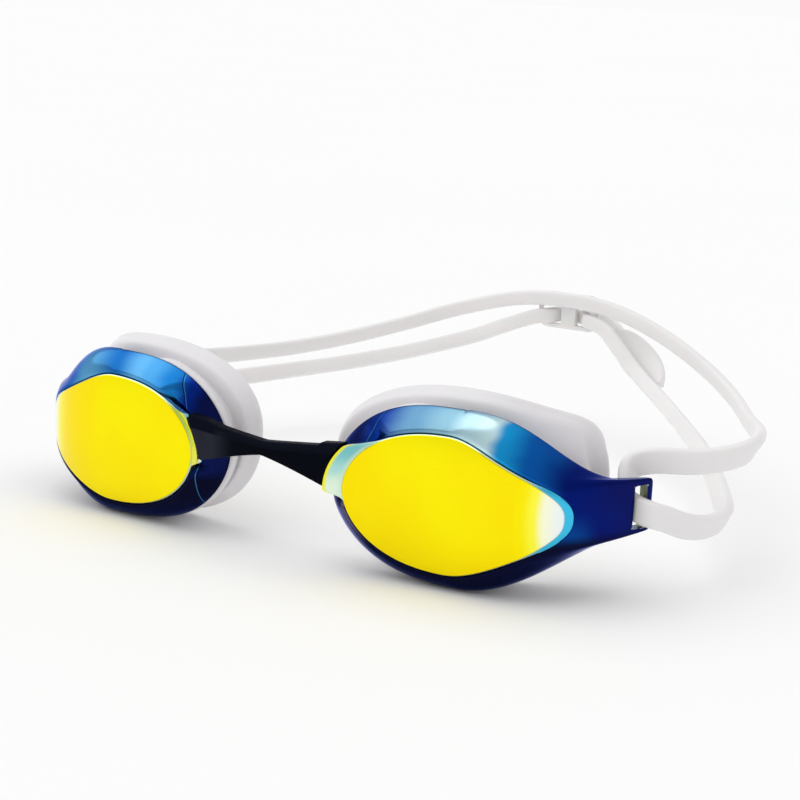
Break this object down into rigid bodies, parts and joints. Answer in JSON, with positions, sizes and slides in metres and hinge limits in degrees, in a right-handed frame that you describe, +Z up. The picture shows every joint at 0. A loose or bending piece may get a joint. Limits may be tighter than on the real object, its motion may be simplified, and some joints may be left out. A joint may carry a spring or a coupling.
{
  "type": "swim goggles",
  "caption": "Racing swim goggles with gold mirrored lenses, blue eye cups, soft white gaskets, a dark nose bridge and a laced silicone strap joined by a rear clip.",
  "frame": {"origin": "centre of the footprint, on the surface the goggles rest on", "axes": "+Z up; -Y the way the lenses face; +X towards the wearer's left"},
  "size_m": [0.1699, 0.1462, 0.0388],
  "materials": {
    "gold_mirror": "gold to yellow mirror coating on polycarbonate, turning white and cyan at the temple end",
    "blue_cup": "glossy metallic blue coating on tinted polycarbonate",
    "white_silicone": "soft satin white silicone",
    "black_bridge": "satin near-black navy plastic",
    "strap_silicone": "soft satin white silicone",
    "clear_clip": "milky translucent glossy plastic"
  },
  "bodies": {
    "frame": {"lens_left": "gold_mirror", "lens_right": "gold_mirror", "eye_cup_left": "blue_cup", "eye_cup_right": "blue_cup", "gasket_left": "white_silicone", "gasket_right": "white_silicone", "nose_bridge": "black_bridge"},
    "strap": {"strap": "strap_silicone", "rear_clip": "clear_clip"}
  },
  "joints": [
    {"name": "strap_swing", "type": "hinge", "parent": "frame", "child": "strap", "pos_m": [0, -0.0452, 0.0172], "axis": [1, 0, 0], "range_deg": [-9, 6]}
  ]
}
